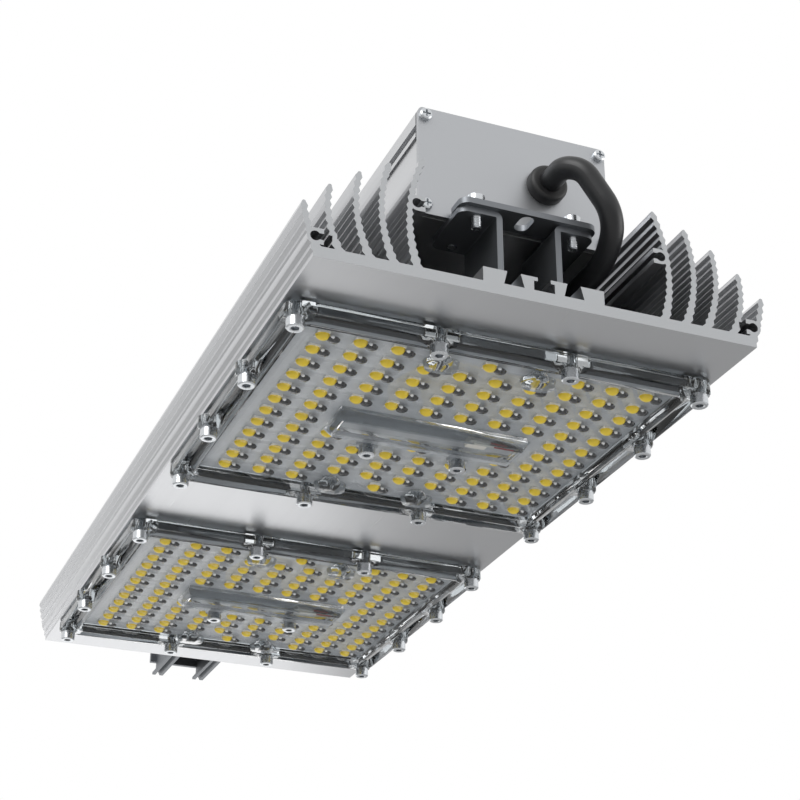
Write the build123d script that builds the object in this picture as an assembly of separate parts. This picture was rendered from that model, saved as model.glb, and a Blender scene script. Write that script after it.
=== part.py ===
from build123d import *
import math
import os

# Street light module: finned aluminium extrusion, two lamp modules below it, a driver box above it.
# Millimetres. X runs across the width, Y along the length away from the cable end, +Z is up.
# Pieces are drawn with z from the underside of the base plate and y from its middle, and are moved
# at the end so that the origin lies between the two hanging slots, on top of the cross plates.

os.makedirs("parts", exist_ok=True)

# Heatsink extrusion
length = 447.0
plate_width = 182.0
plate_thickness = 4.6
fin_insets = (1.7, 10.8, 22.4, 31.5, 40.6)      # plate edge to the middle of each fin's root
fin_heights = (22.9, 32.0, 40.3, 47.0, 52.2)    # underside of the plate to each fin's tip
fin_leans = (5.6, 5.0, 5.2, 2.7, -1.8)          # how far each tip stands outside its root
fin_bows = (0.9, 2.5, 3.3, 4.1, 4.5)            # how far each fin bulges outward at half height
fin_tip_thickness = 2.2
fin_root_thickness = 4.0
ripple_pitch = 3.2
ripple_depth = 1.4                              # wave of a fin's thickness, over both faces
end_screw_bore = 4.0
end_screw_wall = 1.3
end_screw_mouth = 2.6
end_screw_arm = 1.2                             # straight part of the channel's arms past the bore
outer_channel_height = 8.6
inner_channel_height = 31.8

# Rails in the middle of the plate: a T-slot between two dovetail slots
rail_top = 10.6
rail_half_width = 25.0
slot_floor = 5.0
dovetail_offset = 12.4
dovetail_mouth = 5.5
dovetail_floor = 8.3
tee_mouth = 5.4
tee_width = 8.6
tee_lip = 1.6

# Folded and extruded brackets
bracket_thickness = 2.5
bracket_flange_reach = 28.8
bracket_flange_round = 4.0
bend_radius = 3.0
toe_spread = 6.4
toe_height = 1.4
toe_notch_width = 2.6
toe_notch_height = 2.4
foot_shoulder = 4.0
near_bracket_inset = 11.0
near_bracket_length = 30.0
rear_arm_grip = 57.0
rear_arm_reach = 53.0
cross_plate_width = 58.0
cross_plate_near_inset = 8.6
cross_plate_round = 4.0
hanging_slot_width = 5.8
hanging_slot_length = 10.4
hanging_slot_inset = 15.1
rear_plate_width = 34.0
rear_plate_drop = 33.0
fold_tongue = 20.0
fold_edge = 0.1                                 # flat left beside the round of the fold

# Driver box
housing_height = 49.2
housing_fin_gap = 6.0
housing_wall = 2.0
housing_side_wall = 3.0
housing_corner = 2.0
housing_inner_corner = 1.0
housing_end_inset = 22.1
side_groove_height = 3.5
side_groove_depth = 1.7
side_groove_rise = 38.6
side_panel_depth = 0.8
side_panel_low = 4.0
side_panel_high = 36.4
end_plate_thickness = 2.0
end_gasket_thickness = 1.0
end_gasket_margin = 0.4
end_screw_side_inset = 2.8
end_screw_height_inset = 3.8
port_radius = 3.2
port_margin = 0.1                               # screw ports end this far inside the box's faces
grommet_offset = 13.5
grommet_rise = 24.3
grommet_flange_radius = 8.2
grommet_flange_depth = 5.0
grommet_round = 2.0
grommet_neck_radius = 6.4
grommet_lip_radius = 7.8
grommet_lip_depth = 2.0

# Driver inside the box
board_rail_rise = 8.0
board_rail_depth = 1.4
board_rail_height = 1.2
driver_board_thickness = 1.6
board_near_inset = 30.0                         # end of the heatsink to the near end of the board
board_far_inset = 57.0
terminal_width = 30.0
terminal_height = 20.0
terminal_depth = 14.0
terminal_funnel_radius = 2.4
terminal_funnel_depth = 4.0
transformer_y = 10.0
core_width = 40.0
core_depth = 34.0
core_height = 28.0
core_yoke = 5.0
core_outer_leg = 4.0
core_centre_leg = 14.0
winding_overhang = 8.0
winding_air = 0.2
can_radius = 8.0
can_height = 25.0
can_places = ((-16.0, 60.0), (4.0, 62.0), (24.0, 60.0))
choke_place = (-18.0, -70.0)
choke_radius = 9.0
choke_breadth = 7.0
choke_thickness = 9.0
choke_bevel = 2.0
spreader_length = 120.0
spreader_thickness = 3.0
spreader_foot = 9.0
spreader_height = 25.0

# Lamp modules
module_gap_shift = 0.5
cover_edge_inset = 1.0
cover_length = 164.8
cover_flange_side = 9.0
cover_flange_end = 9.9
board_side_air = 1.0
board_end_air = 1.5
led_side_inset = 10.475                         # board edge to the middle of the outermost lamps
led_end_inset = 8.3
lamp_board_thickness = 1.6
lamp_board_corner = 2.0
led_size = 5.0
led_height = 0.8
led_columns = 10
led_rows = 12
inner_screw_row = 8                             # row with the two inner cover screws
short_rows = (1, inner_screw_row, led_rows)     # rows with room left for screws
short_row_gap = 4                               # lamps left out in the middle of a short row
window_rows = (6, 7)                            # rows on both sides of the wiring window
window_row_gap = 6
cover_corner = 8.0
cover_air = 0.2
lens_plate_thickness = 2.0
lens_length = 11.6
lens_breadth = 9.2
lens_height = 2.6
lens_taper = 30.0
rim_wall = 1.5
rim_drop = 5.6
rim_corner = 3.0
flange_drop = 5.0
flange_pocket_depth = 3.4
pocket_width = 4.6
pocket_end_gap = 7.0
pocket_side_margin = 0.5
pocket_corner = 1.2
boss_radius = 4.8
boss_drop = 5.8
boss_step = 0.4
window_width = 86.0
window_length = 21.0
window_height = 4.4
window_taper = 34.0
window_wall = 1.2
screw_dome_length = 15.0
screw_dome_breadth = 10.0
screw_dome_height = 2.8
screw_dome_taper = 15.0
gasket_thickness = 0.8
gasket_width = 2.2
gasket_lap = 0.2                                # how far it reaches inside the rim

# Cover screws: from the cover's edge, or from the module's middle
screw_row_inset = 5.4
corner_screw_inset = 4.7
side_screw_inset = 2.3
side_screw_y = 26.0
edge_screw_x = 27.75
inner_screw_x = 20.8

# Screws along the light, from the end of the heatsink or of the rear arms
bracket_bolt_inset = 14.5
housing_screw_inset = 37.7
rear_housing_screw_inset = 31.0
rear_bolt_inset = 12.0

# Fasteners: shaft and head radii, head height
m4_radius = 2.0
m4_head_radius = 3.6
m4_head_height = 4.6
m4_hex = 3.0
m4_hex_depth = 2.2
m4_pan_height = 2.0
m3_radius = 1.5
m3_head_radius = 2.7
m3_head_height = 2.0
cover_screw_length = 10.0
board_screw_length = 5.0
bracket_bolt_length = 10.0
end_screw_length = 10.0
thread_air = 0.05
hole_air = 0.3

# Cable
cable_radius = 4.6
cable_air = 0.05
lead_radius = 0.8
lead_spacing = 4.0
lead_run = 9.0
connector_size = (9.0, 8.0, 3.2)
plate_grommet_radius = 6.6
plate_grommet_flange = 9.0
plate_grommet_rise = 2.0

# Levels and places that follow from the sizes above
half_length = length / 2
half_plate = plate_width / 2
flange_top = 43.4
hang_level = flange_top + bracket_thickness
housing_half = (half_plate - fin_insets[-1] + fin_leans[-1]
                - fin_tip_thickness / 2 - ripple_depth / 4 - housing_fin_gap)
housing_top = flange_top + housing_height
end_plate_y = half_length - housing_end_inset
housing_half_length = end_plate_y - end_plate_thickness - end_gasket_thickness
lens_plate_top = -(lamp_board_thickness + led_height + cover_air)
lens_plate_low = lens_plate_top - lens_plate_thickness
cover_width = plate_width - 2 * cover_edge_inset
rim_width = cover_width - 2 * cover_flange_side
rim_length = cover_length - 2 * cover_flange_end
lamp_board_width = rim_width - 2 * board_side_air
lamp_board_length = rim_length - 2 * board_end_air
led_pitch_x = (lamp_board_width - 2 * led_side_inset) / (led_columns - 1)
led_pitch_y = (lamp_board_length - 2 * led_end_inset) / (led_rows - 1)
screw_row_y = cover_length / 2 - screw_row_inset
corner_screw_x = cover_width / 2 - corner_screw_inset
side_screw_x = cover_width / 2 - side_screw_inset
module_pitch = half_length - module_gap_shift
inner_screw_y = (inner_screw_row - (led_rows + 1) / 2) * led_pitch_y
outer_row_y = (led_rows - 1) / 2 * led_pitch_y
feed_x = (rail_half_width + half_plate - fin_insets[-1] - fin_root_thickness / 2) / 2
bracket_bolt_x = (dovetail_offset + bracket_flange_reach) / 2
bracket_bolt_y = half_length - bracket_bolt_inset
housing_screw_y = half_length - housing_screw_inset
rear_housing_screw_y = half_length - rear_housing_screw_inset
rear_bolt_y = half_length + rear_arm_reach - rear_bolt_inset
board_top = flange_top + board_rail_rise + driver_board_thickness
driver_board_length = length - board_near_inset - board_far_inset
board_near_y = board_near_inset - half_length
bottom_up = (Align.CENTER, Align.CENTER, Align.MIN)


# Small helpers
def post(x, y, low, high, radius):
    """Upright round bar between two levels."""
    return Pos(x, y, low) * Cylinder(radius, high - low, align=bottom_up)


def slab(outline, low, high):
    """Flat outline given a thickness between two levels."""
    return extrude(Pos(0, 0, low) * outline, high - low)


def along(profile, near, far):
    """Profile drawn in X and Z, drawn out along Y from near to far."""
    return Pos(0, near, 0) * extrude(Plane.XZ * profile, -(far - near))


def closed(points):
    """Face inside a closed run of straight edges."""
    return make_face(Polyline(*points, close=True))


def group(pieces):
    """Separate solids that share one node."""
    return Compound([solid for piece in pieces for solid in piece.solids()])


def mirrored(piece):
    """The same piece on the other side of the middle."""
    return mirror(piece, about=Plane.YZ)


def left_and_right(face):
    """A face of the section with its mirror image."""
    return face + mirror(face, about=Plane.YZ)


def four_ways(x, y):
    """The four places at plus and minus x and y."""
    return [(sx * x, sy * y) for sx in (-1, 1) for sy in (-1, 1)]


# Heatsink section
def fin_face(inset, height, lean, bow):
    """Curved fin with both faces rippled, thicker at its root, round at its tip."""
    start = plate_thickness / 2
    rise = height - fin_tip_thickness / 2 - start
    steps = 2 * round(math.hypot(lean, rise) / ripple_pitch)
    outer, inner = [], []
    for step in range(steps + 1):
        s = step / steps
        middle = Vector(half_plate - inset + lean * s + 4 * bow * s * (1 - s), start + rise * s)
        slope = Vector(lean + 4 * bow * (1 - 2 * s), rise).normalized()
        across = Vector(slope.Y, -slope.X)
        flare = (fin_root_thickness - fin_tip_thickness) * (1 - s) ** 4
        ripple = ripple_depth * (0.5 if step % 2 else -0.5)
        half = (fin_tip_thickness + flare + ripple) / 2
        outer.append(middle + across * half)
        inner.append(middle - across * half)
    crown = middle + slope * half
    sides = Polyline(*reversed(outer), *inner) + ThreePointArc(inner[-1], crown, outer[-1])
    return make_face(sides)


def fin_x(index, height):
    """Middle of a fin at a given height."""
    start = plate_thickness / 2
    s = (height - start) / (fin_heights[index] - fin_tip_thickness / 2 - start)
    return half_plate - fin_insets[index] + fin_leans[index] * s + 4 * fin_bows[index] * s * (1 - s)


def channel_places():
    """Middles of the end-screw channels on the outer and the inner fin."""
    outer_x = fin_x(0, outer_channel_height) - end_screw_bore / 2 + ripple_depth / 4
    inner_x = fin_x(4, inner_channel_height) - end_screw_bore / 2 - end_screw_wall / 2
    return [(outer_x, outer_channel_height), (inner_x, inner_channel_height)]


def rail_faces():
    """Rails of one side: the dovetail slot and half the T-slot are cut from one block."""
    block = Pos(rail_half_width / 2, rail_top / 2) * Rectangle(rail_half_width, rail_top)
    mouth, floor = dovetail_mouth / 2, dovetail_floor / 2
    dovetail = closed([(dovetail_offset - mouth, rail_top), (dovetail_offset + mouth, rail_top),
                       (dovetail_offset + floor, slot_floor), (dovetail_offset - floor, slot_floor)])
    tee_depth = rail_top - tee_lip - slot_floor
    tee = Pos(0, slot_floor + tee_depth / 2) * Rectangle(tee_width, tee_depth)
    tee += Pos(0, rail_top - tee_lip / 2) * Rectangle(tee_mouth, tee_lip)
    return block - dovetail - tee


def heatsink_section():
    section = Pos(0, plate_thickness / 2) * Rectangle(plate_width, plate_thickness)
    half = rail_faces()
    for fin in zip(fin_insets, fin_heights, fin_leans, fin_bows):
        half += fin_face(*fin)
    arm = end_screw_bore / 2 + end_screw_arm
    for x, z in channel_places():
        half += Pos(x, z) * Circle(end_screw_bore / 2 + end_screw_wall)
        half += Pos(x - arm / 2, z) * Rectangle(arm, end_screw_bore + 2 * end_screw_wall)
    section += left_and_right(half)
    for x, z in channel_places():
        bore = Pos(x, z) * Circle(end_screw_bore / 2)
        mouth = Pos(x - arm, z) * Rectangle(2 * arm, end_screw_mouth)
        section -= left_and_right(bore + mouth)
    return section


def module_places():
    """Middles of the near and the far lamp module."""
    return {"near": -module_pitch / 2, "far": module_pitch / 2}


def outer_screw_places():
    """The twelve screws round the edge of a cover."""
    places = four_ways(corner_screw_x, screw_row_y) + four_ways(edge_screw_x, screw_row_y)
    return places + four_ways(side_screw_x, side_screw_y)


def inner_screw_places():
    """The two cover screws beside the wiring window."""
    return [(-inner_screw_x, inner_screw_y), (inner_screw_x, inner_screw_y)]


def cover_screw_places():
    return outer_screw_places() + inner_screw_places()


def board_screw_places():
    return four_ways(inner_screw_x, outer_row_y)


def heatsink():
    body = along(heatsink_section(), -half_length, half_length)
    holes = []
    for y in module_places().values():
        for sx, sy in cover_screw_places() + board_screw_places():
            holes.append(post(sx, y + sy, 0, plate_thickness, m4_radius + thread_air))
        holes.append(post(feed_x, y, 0, plate_thickness, plate_grommet_radius))
    return body - holes


# Brackets
def bracket_section():
    """L-section with a two-toed foot that stands in the dovetail slot."""
    half, toe, notch = bracket_thickness / 2, toe_spread / 2, toe_notch_width / 2
    x, under = dovetail_offset, flange_top - bracket_thickness
    shoulder, ankle = slot_floor + foot_shoulder, slot_floor + toe_height
    face = closed([(x - half, shoulder), (x - half, flange_top), (bracket_flange_reach, flange_top),
                   (bracket_flange_reach, under), (x + half, under), (x + half, shoulder),
                   (x + toe, ankle), (x + toe, slot_floor), (x + notch, slot_floor),
                   (x, slot_floor + toe_notch_height), (x - notch, slot_floor), (x - toe, slot_floor),
                   (x - toe, ankle)])
    outside = face.vertices().sort_by_distance((x - half, flange_top))[0]
    face = fillet(outside, bend_radius)
    inside = face.vertices().sort_by_distance((x + half, under))[0]
    return fillet(inside, bend_radius - bracket_thickness)


def bracket(near, far, screws):
    body = along(bracket_section(), near, far)
    tips = body.edges().filter_by(Axis.Z).group_by(Axis.X)[-1]
    body = fillet(tips, bracket_flange_round)
    for y in screws:
        body -= post(bracket_bolt_x, y, flange_top - bracket_thickness, flange_top, m4_radius + thread_air)
    return body


def near_bracket():
    near = near_bracket_inset - half_length
    return bracket(near, near + near_bracket_length, (-bracket_bolt_y, -housing_screw_y))


def rear_arm():
    screws = (rear_housing_screw_y, bracket_bolt_y, rear_bolt_y)
    return bracket(half_length - rear_arm_grip, half_length + rear_arm_reach, screws)


def hanging_slot(y):
    slot = Pos(0, y) * Rot(0, 0, 90) * SlotOverall(hanging_slot_length, hanging_slot_width)
    return slab(slot, flange_top, hang_level)


def near_cross_plate():
    near = cross_plate_near_inset - half_length
    depth = -end_plate_y - near
    outline = Pos(0, near + depth / 2) * RectangleRounded(cross_plate_width, depth, cross_plate_round)
    plate = slab(outline, flange_top, hang_level) - hanging_slot(hanging_slot_inset - half_length)
    for side in (-1, 1):
        plate -= post(side * bracket_bolt_x, -bracket_bolt_y, flange_top, hang_level, m4_radius + hole_air)
    return plate


def rear_cross_plate():
    """Plate across the rear arms, folded down over their ends."""
    end = half_length + rear_arm_reach
    flat_end = end - bend_radius
    outline = Pos(0, (end_plate_y + flat_end) / 2) * RectangleRounded(
        cross_plate_width, flat_end - end_plate_y, cross_plate_round)
    far = end + bracket_thickness
    tongue = Pos(0, far - fold_tongue / 2) * Rectangle(rear_plate_width, fold_tongue)
    plate = slab(outline + tongue, flange_top, hang_level)
    apron = Pos(0, end + bracket_thickness / 2, hang_level - rear_plate_drop)
    plate += apron * Box(rear_plate_width, bracket_thickness, rear_plate_drop, align=bottom_up)
    fold = plate.edges().filter_by(Axis.X).group_by(Axis.Y)[-1].sort_by(Axis.Z)[-1]
    plate = fillet(fold, bracket_thickness - fold_edge)
    plate -= hanging_slot(half_length - hanging_slot_inset)
    for side in (-1, 1):
        for y in (bracket_bolt_y, rear_bolt_y):
            plate -= post(side * bracket_bolt_x, y, flange_top, hang_level, m4_radius + hole_air)
    return plate


# Fasteners
def cap_screw(shaft, head_up=True):
    """Socket-head screw, its head standing on the origin and its shaft reaching away from it."""
    head = post(0, 0, 0, m4_head_height, m4_head_radius)
    socket = slab(RegularPolygon(m4_hex / math.sqrt(3), 6), m4_head_height - m4_hex_depth, m4_head_height)
    screw = head - socket + post(0, 0, -shaft, 0, m4_radius)
    return screw if head_up else Rot(180, 0, 0) * screw


def pan_screw(shaft, radius, head_radius, head_height):
    """Screw with a low bevelled head standing on the origin."""
    head = post(0, 0, 0, head_height, head_radius)
    head = chamfer(head.edges().filter_by(GeomType.CIRCLE).sort_by(Axis.Z)[-1], head_height / 2)
    return head + post(0, 0, -shaft, 0, radius)


def bracket_bolts():
    bolt = cap_screw(bracket_bolt_length)
    return group([Pos(side * bracket_bolt_x, y, hang_level) * bolt
                  for side in (-1, 1) for y in (-bracket_bolt_y, bracket_bolt_y, rear_bolt_y)])


def housing_screws():
    """Screws that hold the box to the bracket flanges, with their heads inside the box."""
    screw = pan_screw(housing_wall + bracket_thickness, m4_radius, m4_head_radius, m4_pan_height)
    return group([Pos(side * bracket_bolt_x, y, flange_top + housing_wall) * screw
                  for side in (-1, 1) for y in (-housing_screw_y, rear_housing_screw_y)])


def end_screw_places():
    x = housing_half - end_screw_side_inset
    return [(side * x, z) for side in (-1, 1)
            for z in (flange_top + end_screw_height_inset, housing_top - end_screw_height_inset)]


def end_plate_screws():
    screw = pan_screw(end_screw_length, m3_radius, m3_head_radius, m3_head_height)
    return group([Pos(x, end * end_plate_y, z) * Rot(-90 * end, 0, 0) * screw
                  for x, z in end_screw_places() for end in (-1, 1)])


# Driver box
def box_outline(width, height, corner):
    """Rounded rectangle in X and Z that stands on the bracket flanges."""
    return Pos(0, flange_top + housing_height / 2) * RectangleRounded(width, height, corner)


def housing_section():
    section = box_outline(2 * housing_half, housing_height, housing_corner)
    section -= box_outline(2 * (housing_half - housing_side_wall), housing_height - 2 * housing_wall,
                           housing_inner_corner)
    groove = side_groove_rise + side_groove_height / 2
    cuts = Pos(housing_half, flange_top + groove) * Rectangle(2 * side_groove_depth, side_groove_height)
    panel = (side_panel_low + side_panel_high) / 2
    cuts += Pos(housing_half, flange_top + panel) * Rectangle(
        2 * side_panel_depth, side_panel_high - side_panel_low)
    section -= left_and_right(cuts)
    for rise in (board_rail_rise - board_rail_height / 2,
                 board_rail_rise + driver_board_thickness + cover_air + board_rail_height / 2):
        rail_x = housing_half - housing_side_wall - board_rail_depth / 2
        rail = Pos(rail_x, flange_top + rise) * Rectangle(board_rail_depth, board_rail_height)
        section += left_and_right(rail)
    inside = box_outline(2 * (housing_half - port_margin), housing_height - 2 * port_margin, housing_corner)
    for x, z in end_screw_places():
        section += (Pos(x, z) * Circle(port_radius)) & inside
    for x, z in end_screw_places():
        section -= Pos(x, z) * Circle(m3_radius + thread_air)
    return section


def driver_housing():
    body = along(housing_section(), -housing_half_length, housing_half_length)
    top = flange_top + housing_wall
    for side in (-1, 1):
        for y in (-housing_screw_y, rear_housing_screw_y):
            body -= post(side * bracket_bolt_x, y, flange_top, top, m4_radius + hole_air)
    return body


def grommet_place(y):
    """Turns a shape that stands on XY so that it points away from the box at the cable end."""
    return Pos(grommet_offset, y, flange_top + grommet_rise) * Rot(90, 0, 0)


def end_sheet(near, far, corner, cable_hole, margin=0.0):
    """Sheet over one end of the box, with its screw holes."""
    sheet = box_outline(2 * housing_half - 2 * margin, housing_height - 2 * margin, corner)
    for x, z in end_screw_places():
        sheet -= Pos(x, z) * Circle(m3_radius + hole_air)
    if cable_hole:
        sheet -= Pos(grommet_offset, flange_top + grommet_rise) * Circle(grommet_neck_radius)
    return along(sheet, near, far)


def near_end_plate():
    return end_sheet(-end_plate_y, -end_plate_y + end_plate_thickness, housing_corner, True)


def far_end_plate():
    return end_sheet(end_plate_y - end_plate_thickness, end_plate_y, housing_corner, False)


def near_end_gasket():
    near = -housing_half_length - end_gasket_thickness
    return end_sheet(near, -housing_half_length, housing_corner, True, end_gasket_margin)


def far_end_gasket():
    far = housing_half_length + end_gasket_thickness
    return end_sheet(housing_half_length, far, housing_corner, False, end_gasket_margin)


def cable_grommet():
    """Rubber ring snapped into the end plate: rounded outer flange, neck and inner lip."""
    sheet = end_plate_thickness + end_gasket_thickness
    bore = cable_radius + cable_air
    inner = -sheet - grommet_lip_depth
    half = closed([(bore, inner), (grommet_lip_radius, inner), (grommet_lip_radius, -sheet),
                   (grommet_neck_radius, -sheet), (grommet_neck_radius, 0), (grommet_flange_radius, 0),
                   (grommet_flange_radius, grommet_flange_depth), (bore, grommet_flange_depth)])
    outer = half.vertices().sort_by_distance((grommet_flange_radius, grommet_flange_depth))[0]
    half = fillet(outer, grommet_round)
    ring = revolve(Plane.XZ * half, Axis.Z)
    return grommet_place(-end_plate_y) * ring


# Driver inside the box
def driver_board():
    width = 2 * (housing_half - housing_side_wall) - 2 * hole_air
    place = Pos(0, board_near_y + driver_board_length / 2, flange_top + board_rail_rise)
    return place * Box(width, driver_board_length, driver_board_thickness, align=bottom_up)


def terminal_block():
    """Screw terminal at the cable end of the board, with a funnel for each wire."""
    y = board_near_y + terminal_depth / 2
    top = board_top + terminal_height
    block = Pos(grommet_offset, y, board_top) * Box(terminal_width, terminal_depth, terminal_height,
                                                    align=bottom_up)
    for way in (-1, 0, 1):
        x = grommet_offset + way * terminal_width / 3
        block -= post(x, y, top - terminal_funnel_depth, top, terminal_funnel_radius)
    return block


def transformer_core():
    """Pair of E-cores with a window on each side of the centre leg."""
    core = Pos(0, transformer_y, board_top) * Box(core_width, core_depth, core_height, align=bottom_up)
    window = core_width / 2 - core_outer_leg - core_centre_leg / 2
    for side in (-1, 1):
        x = side * (core_centre_leg + window) / 2
        core -= Pos(x, transformer_y, board_top + core_yoke) * Box(
            window, core_depth, core_height - 2 * core_yoke, align=bottom_up)
    return core


def transformer_winding():
    """Closed ring of wire round the centre leg, through both windows."""
    width = core_width - 2 * core_outer_leg - 2 * winding_air
    ring = RectangleRounded(width, core_depth + 2 * winding_overhang, winding_overhang / 2)
    ring -= Rectangle(core_centre_leg + 2 * winding_air, core_depth + 2 * winding_air)
    low = board_top + core_yoke + winding_air
    high = board_top + core_height - core_yoke - winding_air
    return slab(Pos(0, transformer_y) * ring, low, high)


def capacitors():
    """Three upright cans."""
    can = post(0, 0, 0, can_height, can_radius)
    return group([Pos(x, y, board_top) * can for x, y in can_places])


def line_choke():
    """Wound ring lying on the board."""
    wound = Pos(choke_radius, 0) * Rectangle(choke_breadth, choke_thickness)
    wound = chamfer(wound.vertices(), choke_bevel)
    ring = revolve(Plane.XZ * wound, Axis.Z)
    return Pos(*choke_place, board_top + choke_thickness / 2) * ring


def heat_spreader():
    """Angle that leads the heat of the power stage into the box wall."""
    x = housing_half - housing_side_wall - board_rail_depth - hole_air
    against_wall = (Align.MIN, Align.CENTER, Align.MIN)
    upright = Box(spreader_thickness, spreader_length, spreader_height, align=against_wall)
    foot = Box(spreader_foot, spreader_length, spreader_thickness, align=against_wall)
    return Pos(-x, 0, board_top) * (upright + foot)


# Lamp module, built round its own middle
def led_places():
    """Lamp places on the board: short rows leave room for screws, window rows for the wiring."""
    places = []
    middle = (led_columns - 1) / 2
    for row in range(1, led_rows + 1):
        y = (row - (led_rows + 1) / 2) * led_pitch_y
        columns = range(led_columns)
        if row in short_rows:
            columns = [c for c in columns if abs(c - middle) > short_row_gap / 2]
            places.append((0, y))
        if row in window_rows:
            columns = [c for c in columns if abs(c - middle) > window_row_gap / 2]
        places += [((c - middle) * led_pitch_x, y) for c in columns]
    return places


def led_board():
    outline = RectangleRounded(lamp_board_width, lamp_board_length, lamp_board_corner)
    board = slab(outline, -lamp_board_thickness, 0)
    for x, y in board_screw_places() + inner_screw_places():
        board -= post(x, y, -lamp_board_thickness, 0, m4_radius + hole_air)
    return board - post(feed_x, 0, -lamp_board_thickness, 0, plate_grommet_radius)


def led_packages():
    chip = Box(led_size, led_size, led_height, align=(Align.CENTER, Align.CENTER, Align.MAX))
    return group([Pos(x, y, -lamp_board_thickness) * chip for x, y in led_places()])


def cover_outline():
    outline = RectangleRounded(cover_width, cover_length, cover_corner)
    for x, y in outer_screw_places():
        outline += Pos(x, y) * Circle(boss_radius)
    return outline


def pocket_outlines():
    """Long troughs in the flange between neighbouring screws."""
    pockets = Sketch()
    band_y = (rim_length / 2 + rim_wall + cover_length / 2) / 2
    band_x = (rim_width / 2 + rim_wall + cover_width / 2) / 2
    side_width = cover_width / 2 - rim_width / 2 - 2 * (rim_wall + pocket_side_margin)
    stations = (-corner_screw_x, -edge_screw_x, edge_screw_x, corner_screw_x)
    for low, high in zip(stations, stations[1:]):
        span = high - low - 2 * pocket_end_gap
        for side in (-1, 1):
            pockets += Pos((low + high) / 2, side * band_y) * RectangleRounded(
                span, pocket_width, pocket_corner)
    stations = (-screw_row_y, -side_screw_y, side_screw_y, screw_row_y)
    for low, high in zip(stations, stations[1:]):
        span = high - low - 2 * pocket_end_gap
        for side in (-1, 1):
            pockets += Pos(side * band_x, (low + high) / 2) * RectangleRounded(
                side_width, span, pocket_corner)
    return pockets


def lens_outline():
    """Long hexagon under each lamp."""
    x, y = lens_length / 2, lens_breadth / 2
    return closed([(x, 0), (x / 2, y), (-x / 2, y), (-x, 0), (-x / 2, -y), (x / 2, -y)])


def lens_cover():
    """Clear moulded cover: lens field, rim, bossed flange with troughs, wiring window."""
    cover = slab(cover_outline(), -flange_drop, -gasket_thickness)
    opening = RectangleRounded(rim_width, rim_length, rim_corner)
    cover -= slab(opening, -flange_drop, -gasket_thickness)
    cover -= slab(pocket_outlines(), -flange_drop, flange_pocket_depth - flange_drop)
    rim = RectangleRounded(rim_width + 2 * rim_wall, rim_length + 2 * rim_wall, rim_corner + rim_wall)
    cover += slab(rim - opening, -rim_drop, -gasket_thickness)
    cover += slab(opening, lens_plate_low, lens_plate_top)
    for x, y in outer_screw_places():
        cover += post(x, y, -boss_drop, -flange_drop, boss_radius - boss_step)
    for x, y in inner_screw_places():
        cover += post(x, y, -boss_drop, lens_plate_low, boss_radius)
    base = Pos(0, 0, lens_plate_low)
    domes = [base * Pos(x, y) * lens_outline() for x, y in led_places()]
    cover += [extrude(dome, -lens_height, taper=lens_taper) for dome in domes]
    bump = SlotOverall(screw_dome_length, screw_dome_breadth)
    cover += [extrude(base * Pos(x, y) * bump, -screw_dome_height, taper=screw_dome_taper)
              for x, y in board_screw_places()]
    window = Rectangle(window_width, window_length)
    cover += extrude(base * window, -window_height, taper=window_taper)
    room = Rectangle(window_width - 2 * window_wall, window_length - 2 * window_wall)
    cover -= extrude(base * room, -(window_height - window_wall), taper=window_taper)
    cover -= slab(room, lens_plate_low, lens_plate_top)
    for x, y in cover_screw_places():
        cover -= post(x, y, -boss_drop, -gasket_thickness, m4_radius + hole_air)
    head_low = -(lamp_board_thickness + m4_pan_height + cover_air)
    for x, y in board_screw_places():
        cover -= post(x, y, head_low, lens_plate_top, m4_head_radius + hole_air)
    return cover


def cover_gasket():
    width, breadth = rim_width - 2 * gasket_lap, rim_length - 2 * gasket_lap
    inner = Rectangle(width, breadth)
    outer = RectangleRounded(width + 2 * gasket_width, breadth + 2 * gasket_width, rim_corner)
    return slab(outer - inner, -gasket_thickness, 0)


def cover_screws():
    screw = cap_screw(cover_screw_length, head_up=False)
    return group([Pos(x, y, -boss_drop) * screw for x, y in cover_screw_places()])


def board_screws():
    screw = Rot(180, 0, 0) * pan_screw(board_screw_length, m4_radius, m4_head_radius, m4_pan_height)
    return group([Pos(x, y, -lamp_board_thickness) * screw for x, y in board_screw_places()])


def wire_connector():
    x, y, z = connector_size
    place = Pos(feed_x - lead_run - x / 2, 0, -lamp_board_thickness - z)
    return place * Box(x, y, z, align=bottom_up)


def lead(side):
    """Wire from the feed hole down and along the board into the connector."""
    y = side * lead_spacing / 2
    level = -lamp_board_thickness - connector_size[2] / 2
    path = FilletPolyline((feed_x, y, 0), (feed_x, y, level), (feed_x - lead_run, y, level),
                          radius=2 * lead_radius)
    return sweep(Plane(path @ 0, z_dir=path % 0) * Circle(lead_radius), path=path)


# Feed from the box down to the lamp modules
def plate_grommet(y, bored):
    """Rubber bush in the feed hole of the plate, or a blind plug where no cable comes in."""
    bush = post(feed_x, y, 0, plate_thickness, plate_grommet_radius)
    bush += post(feed_x, y, plate_thickness, plate_thickness + plate_grommet_rise, plate_grommet_flange)
    rim = bush.edges().filter_by(GeomType.CIRCLE).sort_by(Axis.Z)[-1]
    bush = chamfer(rim, plate_grommet_rise / 2)
    if bored:
        bush -= post(feed_x, y, 0, plate_thickness + plate_grommet_rise, cable_radius + cable_air)
    return bush


def cable_route():
    """Route points of the cable, from the terminal to the underside of the plate."""
    near = -half_length
    gland_z = flange_top + grommet_rise
    return [(grommet_offset, board_near_y, gland_z), (grommet_offset, near + 6, gland_z),
            (19, near, 64), (31, near - 2, 44), (35, near + 15, 34),
            (30, near + 44, 28), (feed_x, near + 76, 23),
            (feed_x, -module_pitch / 2, 20), (feed_x, -module_pitch / 2, 0)]


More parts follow.
